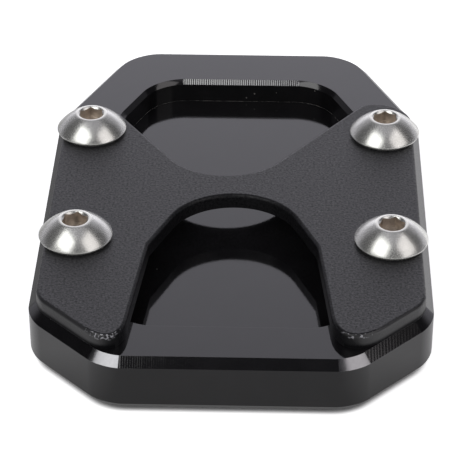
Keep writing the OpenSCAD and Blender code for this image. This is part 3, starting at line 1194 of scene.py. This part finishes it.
backdrop = world_light(
    heading["Y"], [(0.0, 0.03), (0.40, 0.07), (0.52, 0.42), (0.76, 0.62), (0.90, 1.12)],
    by=sideways,
    shares=[(0.06, 0.45), (0.20, 0.50), (0.36, 1.0), (0.60, 1.0), (0.74, 0.68), (0.88, 0.38)])
horizon = world_light(heading["Z"], [(0.0, 0.22), (0.20, 0.24), (0.34, 0.0)],
                      by=sideways, shares=[(0.1, 1.0), (0.5, 0.6), (0.9, 1.5)])
ceiling = world_light(heading["Z"], [(0.70, 0.0), (0.86, 0.06), (0.96, 0.28)])
front = world_light(heading["Z"], [(0.42, 0.45), (0.62, 0.10), (0.70, 0.0)], tinge=plain,
                    by=ahead, shares=[(0.15, 0.0), (0.40, 1.0)])
print("world nodes so far:", len(world.node_tree.nodes))

# %% [markdown]
# Add Shader sums the lights. The camera must not see them, because the photograph has a plain
# white background. So a Mix Shader asks Light Path whether a ray comes straight from the
# camera and shows it white, while every mirrored ray still meets the studio.

# %% Sum the lights and show white to the camera
studio_light = backdrop
for light in (horizon, ceiling, front):
    both = add_node(world, "ShaderNodeAddShader")
    join(studio_light, both.inputs[0])
    join(light, both.inputs[1])
    studio_light = both.outputs["Shader"]
white = add_node(world, "ShaderNodeBackground", Color=(1, 1, 1, 1))
path = add_node(world, "ShaderNodeLightPath")
seen = add_node(world, "ShaderNodeMixShader")
join(path.outputs["Is Camera Ray"], seen.inputs["Fac"])
join(studio_light, seen.inputs[1])
join(white.outputs["Background"], seen.inputs[2])
world_out = add_node(world, "ShaderNodeOutputWorld")
join(seen.outputs["Shader"], world_out.inputs["Surface"])
print("world nodes:", len(world.node_tree.nodes))

# %% [markdown]
# Two soft boxes hang left and right in front, about 50 degrees up. They are area lamps, not
# part of the world, because a lamp gives a clean patch with a soft shadow. They light only
# what turns towards them: two patches on every dome, and the rounded front corners of the
# bevel. The left one is stronger, as in the photograph.

# %% Hang the two soft boxes
lamp_distance = 0.6


def soft_box(name, azimuth, elevation, width, height, power, colour):
    """An area lamp aimed at the part, its azimuth in degrees from the camera's side."""
    turn, rise = radians(azimuth), radians(elevation)
    away = Vector((sin(turn) * cos(rise), -cos(turn) * cos(rise), sin(rise)))
    lamp_data = bpy.data.lights.new(name, "AREA")
    lamp_data.shape = "RECTANGLE"
    lamp_data.size = width
    lamp_data.size_y = height
    lamp_data.energy = power
    lamp_data.color = colour
    lamp = bpy.data.objects.new(name, lamp_data)
    aim = away.to_track_quat("Z", "Y").to_matrix().to_4x4()
    lamp.matrix_world = Matrix.Translation(away * lamp_distance) @ aim
    bpy.context.scene.collection.objects.link(lamp)
    print(name, "hangs at", in_mm(away * lamp_distance), "mm")


soft_box("left_soft_box", -46, 54, 0.43, 0.33, power=0.88, colour=(1.0, 1.0, 1.0))
soft_box("right_soft_box", 64, 48, 0.40, 0.36, power=0.50, colour=(1.0, 0.955, 0.965))

# %% [markdown]
# ## The pale floor
# The floor has two tasks. To the camera it is white, apart from a tight shadow where the part
# stands, which Ambient Occlusion over less than a millimetre draws. To the walls of the part
# it is a painted reflection: they show it dim close in front, as painted shade, and brighter to
# both sides, most of all to the right. So glossy rays see a painted shade and glow of their own,
# which follow X.

# %% Lay the floor and shade it for glossy rays
floor_gap = 0.02 * MM
bpy.ops.object.select_all(action="DESELECT")
bpy.ops.mesh.primitive_plane_add(size=4, location=(0, 0, base_low.z - floor_gap))
floor = bpy.context.object
floor.name = "floor"
settle(floor)
ground, floor_shader = new_finish("pale_floor", Roughness=0.9)
floor_x = components(ground, mapped(ground))["X"]
# painted shade in front and painted light to the sides, seen only by glossy rays
middle = spread(ground, reckon(ground, "ABSOLUTE", floor_x), 0.37, 0.72, 16 * MM, 28 * MM)
far_left = spread(ground, floor_x, -0.4, 0.0, -65 * MM, -32 * MM)
far_right = spread(ground, floor_x, 0.0, 0.7, 32 * MM, 90 * MM)
mirrored = reckon(ground, "ADD", middle, reckon(ground, "ADD", far_left, far_right))
floor_path = add_node(ground, "ShaderNodeLightPath")
floor_shade = add_node(ground, "ShaderNodeMix", data_type="FLOAT", A=0.9)
join(floor_path.outputs["Is Glossy Ray"], floor_shade.inputs["Factor"])
join(mirrored, floor_shade.inputs["B"])
join(floor_shade.outputs["Result"], floor_shader.inputs["Base Color"])
print("floor laid", floor_gap / MM, "mm under the part")

# %% [markdown]
# White paper is overexposed in such a photograph, and only the crack under the part stays
# grey. Lamps that strong would spoil the part. So the floor glows by itself, and Ambient
# Occlusion, which feels for other surfaces nearby, dims the glow where the part is less than
# a millimetre off.

# %% Let the floor glow, apart from the contact shadow
shadow_reach = 0.9 * MM
glossy_share = 0.42
contact = add_node(ground, "ShaderNodeAmbientOcclusion", samples=8, Distance=shadow_reach)
open_share = spread(ground, contact.outputs["AO"], 0.0, 0.8, 0.3, 0.8)
camera_glow = reckon(ground, "MULTIPLY", floor_path.outputs["Is Camera Ray"], open_share)
glossy_glow = reckon(ground, "MULTIPLY", mirrored, floor_path.outputs["Is Glossy Ray"])
join(reckon(ground, "MULTIPLY_ADD", glossy_glow, glossy_share, camera_glow),
     floor_shader.inputs["Emission Strength"])
floor_shader.inputs["Emission Color"].default_value = (1, 1, 1, 1)
floor.data.materials.append(ground)
print("floor nodes:", len(ground.node_tree.nodes))

# %% [markdown]
# ## Colour
# The Standard view keeps written colours as they are.

# %% Finish
bpy.context.scene.view_settings.view_transform = "Standard"
